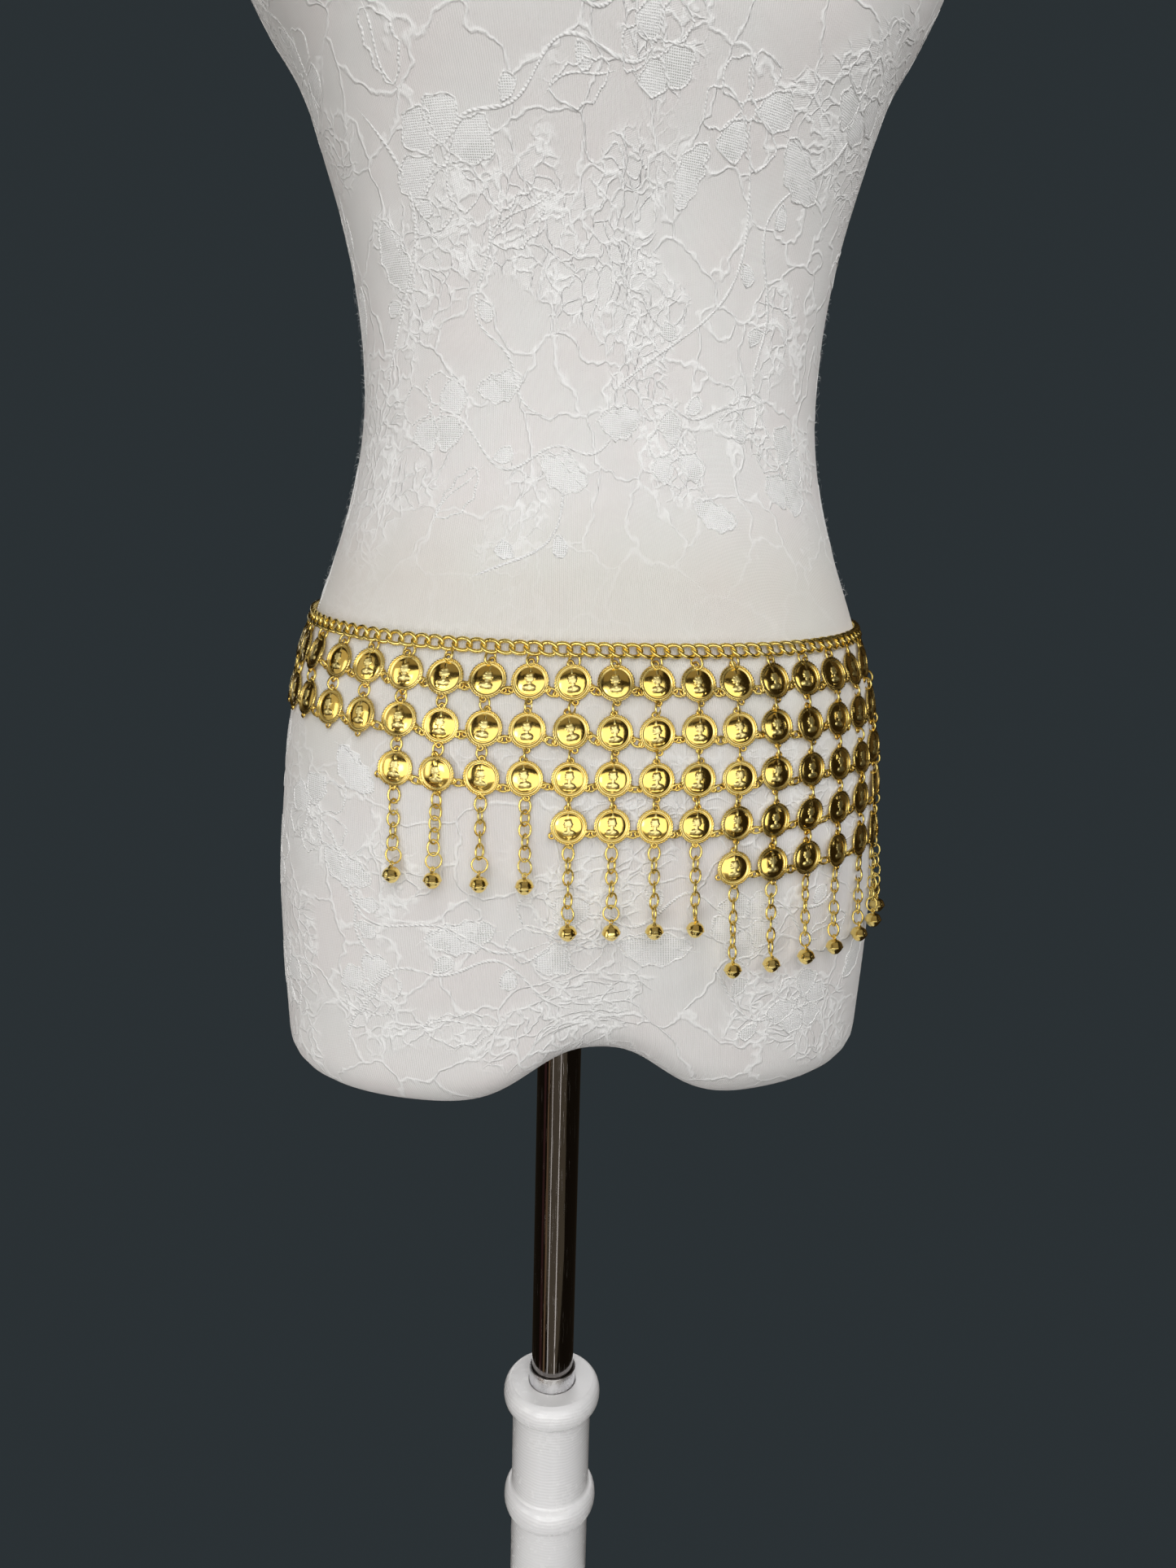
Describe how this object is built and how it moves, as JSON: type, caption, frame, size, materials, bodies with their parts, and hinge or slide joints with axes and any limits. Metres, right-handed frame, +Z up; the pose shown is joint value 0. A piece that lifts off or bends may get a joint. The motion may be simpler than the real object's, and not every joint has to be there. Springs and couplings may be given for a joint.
{
  "type": "coin waist chain on dress form",
  "caption": "Gold-coloured curb chain round the hips of a dress form, hung with a stepped net of domed coins, bell fringe below, on a turned post and round base.",
  "frame": {"origin": "centre of the underside of the stand's round base, on the pole's axis", "axes": "+Z up along the pole, -Y the way the dress form faces, +X towards the form's left-hand side as it is worn"},
  "size_m": [0.41, 0.41, 1.508],
  "materials": {
    "gold_plate": "polished gold-coloured plate",
    "form_cover": "white knit with raised lace",
    "white_paint": "gloss white paint on turned wood",
    "dark_chrome": "polished, finely scratched",
    "sleeve_silver": "satin"
  },
  "bodies": {
    "root": {"clasp": "gold_plate", "coin_column_01": "gold_plate", "coin_column_02": "gold_plate", "coin_column_03": "gold_plate", "coin_column_04": "gold_plate", "coin_column_05": "gold_plate", "coin_column_06": "gold_plate", "coin_column_07": "gold_plate", "coin_column_08": "gold_plate", "coin_column_09": "gold_plate", "coin_column_10": "gold_plate", "coin_column_11": "gold_plate", "coin_column_12": "gold_plate", "coin_column_13": "gold_plate", "coin_column_14": "gold_plate", "coin_column_15": "gold_plate", "coin_column_16": "gold_plate", "coin_column_17": "gold_plate", "coin_column_18": "gold_plate", "coin_column_19": "gold_plate", "coin_column_20": "gold_plate", "coin_column_21": "gold_plate", "coin_column_22": "gold_plate", "coin_column_23": "gold_plate", "coin_column_24": "gold_plate", "coin_column_25": "gold_plate", "coin_column_26": "gold_plate", "coin_column_27": "gold_plate", "coin_column_28": "gold_plate", "coin_column_29": "gold_plate", "coin_column_30": "gold_plate", "coin_column_31": "gold_plate", "coin_column_32": "gold_plate", "coin_column_33": "gold_plate", "coin_column_34": "gold_plate", "form_torso": "form_cover", "pole": "dark_chrome", "post_sleeve": "sleeve_silver", "stand_base": "white_paint", "stand_post": "white_paint", "waist_chain_1": "gold_plate", "waist_chain_2": "gold_plate", "waist_chain_3": "gold_plate", "waist_chain_4": "gold_plate", "waist_chain_5": "gold_plate", "waist_chain_6": "gold_plate"}
  },
  "joints": []
}
